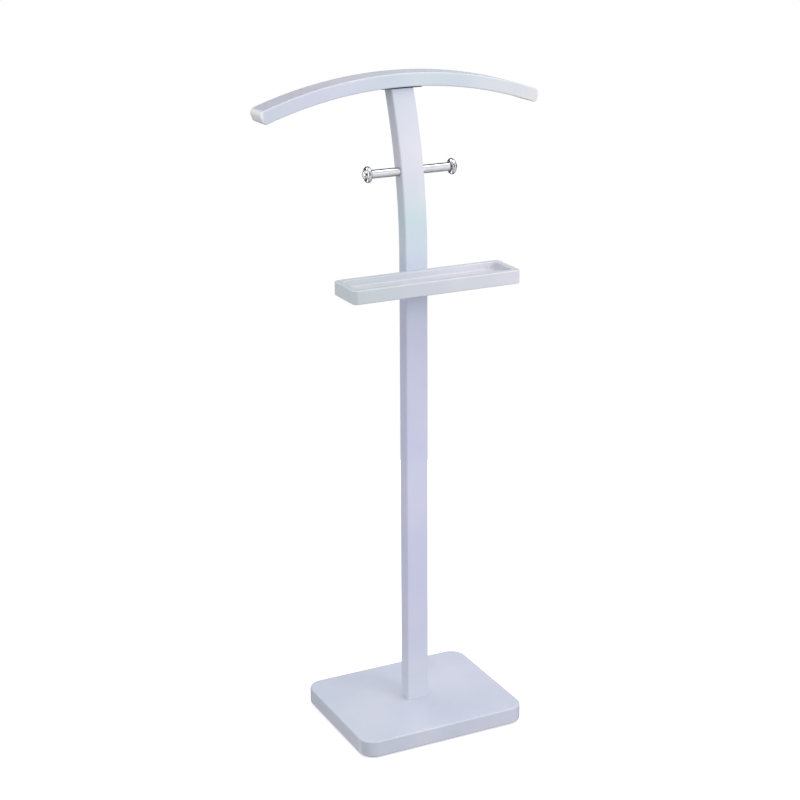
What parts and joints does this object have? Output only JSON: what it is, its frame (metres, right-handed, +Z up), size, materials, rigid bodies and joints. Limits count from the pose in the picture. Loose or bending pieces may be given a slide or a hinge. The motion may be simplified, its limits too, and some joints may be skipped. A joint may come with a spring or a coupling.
{
  "type": "valet stand",
  "caption": "Free-standing valet stand in white painted wood: base board, bowed post, shallow tray, chrome pegs and an arched bar for a jacket.",
  "frame": {"origin": "on the floor under the middle of the base board, which is also the middle of the hanger bar's width", "axes": "+X to the stand's right as seen from the front, +Y to the back, towards which the post bows, +Z up"},
  "size_m": [0.502, 0.255, 1.1304],
  "materials": {
    "white_paint": "white semi-gloss paint over wood",
    "chrome": "polished chrome plate",
    "dark_steel": "black satin coat on steel",
    "zinc_steel": "bright zinc plate",
    "brass": "plain turned brass",
    "beech": "bare beech",
    "cap_plastic": "white moulded plastic",
    "pad_rubber": "dark soft rubber"
  },
  "bodies": {
    "root": {"base_board": "white_paint", "foot_bolt_left": "zinc_steel", "foot_bolt_right": "zinc_steel", "foot_dowel": "beech", "foot_insert_left": "brass", "foot_insert_right": "brass", "foot_pad_back_left": "pad_rubber", "foot_pad_back_right": "pad_rubber", "foot_pad_front_left": "pad_rubber", "foot_pad_front_right": "pad_rubber", "foot_washer_left": "zinc_steel", "foot_washer_right": "zinc_steel", "hanger_bar": "white_paint", "hanger_screw_left": "zinc_steel", "hanger_screw_right": "zinc_steel", "head_plate": "dark_steel", "peg_knob_left": "chrome", "peg_knob_right": "chrome", "peg_left": "chrome", "peg_right": "chrome", "peg_stud": "zinc_steel", "post": "white_paint", "post_head_screw_left": "zinc_steel", "post_head_screw_right": "zinc_steel", "tray": "white_paint", "tray_screw_cap_left": "cap_plastic", "tray_screw_cap_right": "cap_plastic", "tray_screw_left": "zinc_steel", "tray_screw_right": "zinc_steel"}
  },
  "joints": []
}
